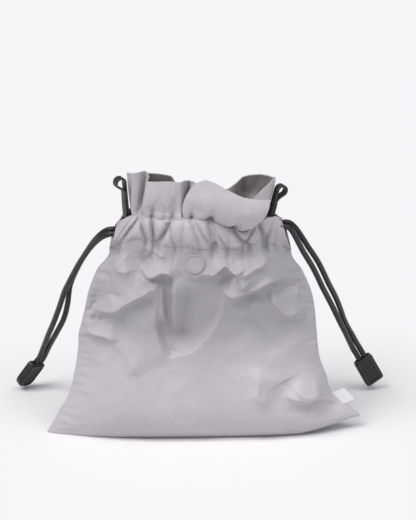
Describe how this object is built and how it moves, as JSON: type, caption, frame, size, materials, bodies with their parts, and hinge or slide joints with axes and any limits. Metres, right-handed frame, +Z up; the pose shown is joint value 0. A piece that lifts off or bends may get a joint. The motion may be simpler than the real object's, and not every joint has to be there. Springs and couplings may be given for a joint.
{
  "type": "shoe bag",
  "caption": "Standing drawstring shoe bag in soft woven fabric with a gathered neck, leather drawcords with tabs, side loops and a magnetic snap.",
  "frame": {"origin": "middle of the flat base, on the surface that the bag stands on", "axes": "+Z up through the mouth, +X to the bag's right as seen from the front, front towards -Y"},
  "size_m": [0.4139, 0.1516, 0.3099],
  "materials": {
    "outer_fabric": "fine plain-weave nylon with a soft sheen, light grey",
    "lining_fabric": "thin grey lining cloth, matte",
    "cord_leather": "near-black round leather cord, satin",
    "tab_leather": "near-black fine-grained leather, satin",
    "thread": "grey sewing thread",
    "magnet_steel": "plated magnet disc",
    "label_cloth": "white woven ribbon, blank"
  },
  "bodies": {
    "bag": {"front_panel": "outer_fabric", "rear_panel": "outer_fabric", "front_lining": "lining_fabric", "rear_lining": "lining_fabric", "front_casing": "outer_fabric", "rear_casing": "outer_fabric", "front_facing": "lining_fabric", "rear_facing": "lining_fabric", "front_header": "outer_fabric", "rear_header": "outer_fabric", "front_magnet": "magnet_steel", "rear_magnet": "magnet_steel", "front_magnet_patch": "outer_fabric", "rear_magnet_patch": "outer_fabric", "front_patch_stitch": "thread", "rear_patch_stitch": "thread", "left_seam_tape": "lining_fabric", "right_seam_tape": "lining_fabric", "bottom_seam_tape": "lining_fabric", "left_cord_run": "cord_leather", "right_cord_run": "cord_leather"},
    "left_cord_tail": {"left_front_tail": "cord_leather", "left_rear_tail": "cord_leather"},
    "left_cord": {"left_front_strand": "cord_leather", "left_rear_strand": "cord_leather", "left_tab": "tab_leather", "left_tab_stitch": "thread"},
    "left_side_loop": {"left_loop": "tab_leather"},
    "right_cord_tail": {"right_front_tail": "cord_leather", "right_rear_tail": "cord_leather"},
    "right_cord": {"right_front_strand": "cord_leather", "right_rear_strand": "cord_leather", "right_tab": "tab_leather", "right_tab_stitch": "thread"},
    "right_side_loop": {"right_loop": "tab_leather"},
    "label": {"side_label": "label_cloth"}
  },
  "joints": [
    {"name": "left_cord_pull", "type": "slide", "parent": "bag", "child": "left_cord_tail", "axis": [-1, 0, 0], "range_m": [0, 0.03]},
    {"name": "left_cord_lift", "type": "hinge", "parent": "left_cord_tail", "child": "left_cord", "pos_m": [-0.0983, 0, 0.24], "axis": [0, 1, 0], "range_deg": [-3, 50]},
    {"name": "right_cord_pull", "type": "slide", "parent": "bag", "child": "right_cord_tail", "axis": [1, 0, 0], "range_m": [0, 0.03]},
    {"name": "right_cord_lift", "type": "hinge", "parent": "right_cord_tail", "child": "right_cord", "pos_m": [0.0903, 0, 0.2485], "axis": [0, -1, 0], "range_deg": [-3, 50]},
    {"name": "left_loop_tilt", "type": "hinge", "parent": "bag", "child": "left_side_loop", "pos_m": [-0.0834, 0, 0.2642], "axis": [0.3746, -0.9272, 0], "range_deg": [0, 35], "stiffness_Nm_per_rad": 0.012},
    {"name": "right_loop_tilt", "type": "hinge", "parent": "bag", "child": "right_side_loop", "pos_m": [0.0745, 0, 0.2642], "axis": [-0.309, 0.9511, 0], "range_deg": [0, 35], "stiffness_Nm_per_rad": 0.012},
    {"name": "label_flap", "type": "hinge", "parent": "bag", "child": "label", "pos_m": [0.1495, 0, 0.037], "axis": [-0.635, 0, 0.7725], "range_deg": [-40, 40], "stiffness_Nm_per_rad": 0.0005}
  ]
}
